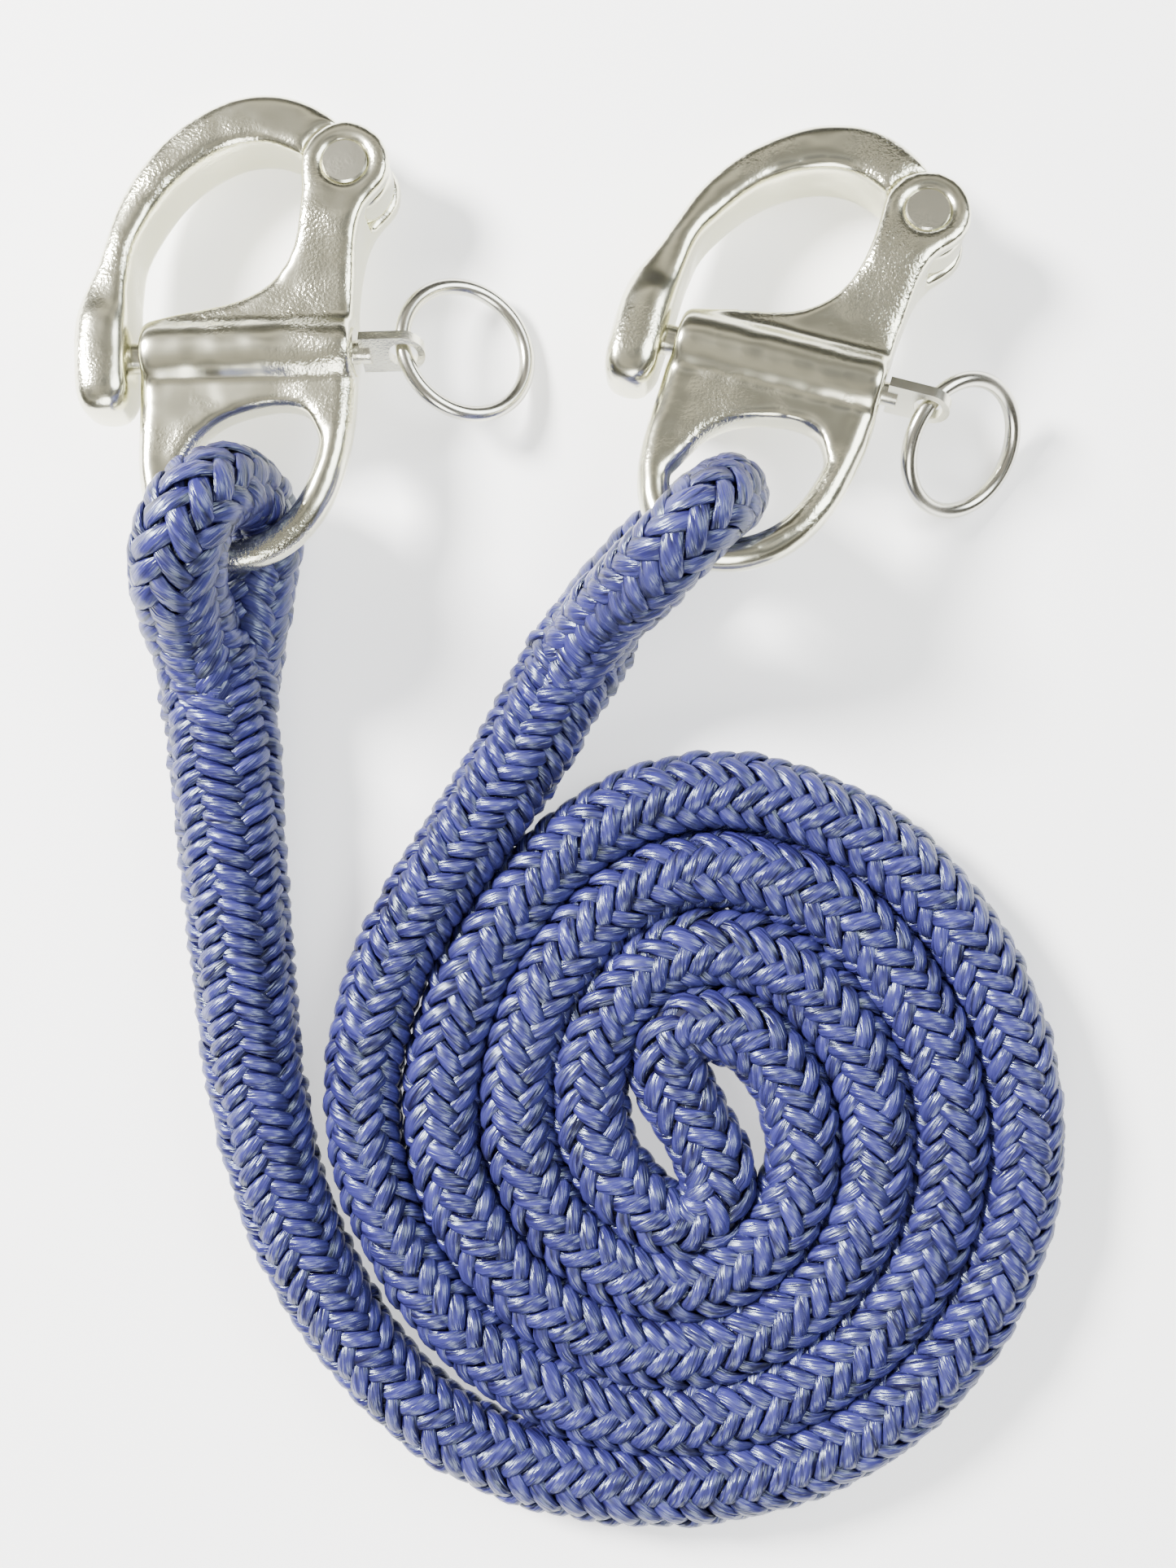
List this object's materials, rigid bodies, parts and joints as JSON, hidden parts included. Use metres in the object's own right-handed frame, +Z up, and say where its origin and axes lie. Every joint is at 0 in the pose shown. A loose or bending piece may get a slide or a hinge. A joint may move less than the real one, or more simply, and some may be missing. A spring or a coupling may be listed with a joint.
{
  "type": "braided rope with snap shackles",
  "caption": "Thick braided cord laid in a flat double spiral, with a spliced eye at each end round the fixed bail of a snap shackle with a hinged gate, sprung pin and pull ring.",
  "frame": {"origin": "middle of the two shackles' common box, on the surface that they and the cord lie on", "axes": "+X from the left shackle to the right one, +Y away from the coil, +Z up"},
  "size_m": [0.1952, 0.2861, 0.0457],
  "materials": {
    "cord": "braided filament, soft sheen",
    "cast_steel": "polished stainless casting, faintly warm",
    "pin_steel": "turned and polished stainless",
    "ring_steel": "polished stainless wire",
    "spring_steel": "spring wire, hidden in the barrel"
  },
  "bodies": {
    "cord": {"rope_coil": "cord", "rope_lead_left": "cord", "rope_splice_left": "cord", "rope_lead_right": "cord", "rope_splice_right": "cord"},
    "left_shackle": {"left_shackle_body": "cast_steel", "left_hinge_pin": "pin_steel", "left_plunger_bush": "pin_steel", "left_plunger_spring": "spring_steel", "rope_eye_left": "cord"},
    "left_gate": {"left_gate": "cast_steel"},
    "left_plunger": {"left_plunger_pin": "pin_steel"},
    "left_ring": {"left_pull_ring": "ring_steel"},
    "right_shackle": {"right_shackle_body": "cast_steel", "right_hinge_pin": "pin_steel", "right_plunger_bush": "pin_steel", "right_plunger_spring": "spring_steel", "rope_eye_right": "cord"},
    "right_gate": {"right_gate": "cast_steel"},
    "right_plunger": {"right_plunger_pin": "pin_steel"},
    "right_ring": {"right_pull_ring": "ring_steel"}
  },
  "joints": [
    {"name": "left_shackle_lift", "type": "hinge", "parent": "cord", "child": "left_shackle", "pos_m": [-0.0685, -0.0597, 0.0226], "axis": [0.9961, 0.0878, 0], "range_deg": [0, 70]},
    {"name": "left_gate_swing", "type": "hinge", "parent": "left_shackle", "child": "left_gate", "pos_m": [-0.04157, 0.03204, 0.00989], "axis": [0.0041, -0.1391, -0.9903], "range_deg": [0, 110]},
    {"name": "left_plunger_pull", "type": "slide", "parent": "left_shackle", "child": "left_plunger", "axis": [0.9996, 0.0297, 0], "range_m": [0, 0.005], "stiffness_N_per_m": 900, "springref_m": -0.004, "deforming": ["left_plunger_spring"]},
    {"name": "left_ring_swing", "type": "hinge", "parent": "left_plunger", "child": "left_ring", "pos_m": [-0.03041, -0.00329, 0.0149], "axis": [0.2008, -0.9782, 0.0523], "range_deg": [-70, 110]},
    {"name": "right_shackle_lift", "type": "hinge", "parent": "cord", "child": "right_shackle", "pos_m": [0.0062, -0.058, 0.0226], "axis": [0.8747, -0.4846, 0], "range_deg": [0, 70]},
    {"name": "right_gate_swing", "type": "hinge", "parent": "right_shackle", "child": "right_gate", "pos_m": [0.07262, 0.02147, 0.01135], "axis": [0.0196, -0.2208, -0.9751], "range_deg": [0, 110]},
    {"name": "right_plunger_pull", "type": "slide", "parent": "right_shackle", "child": "right_plunger", "axis": [0.962, -0.2614, 0.0785], "range_m": [0, 0.005], "stiffness_N_per_m": 900, "springref_m": -0.004, "deforming": ["right_plunger_spring"]},
    {"name": "right_ring_swing", "type": "hinge", "parent": "right_plunger", "child": "right_ring", "pos_m": [0.07254, -0.015, 0.0196], "axis": [-0.6212, -0.7837, 0], "range_deg": [-70, 110]}
  ]
}
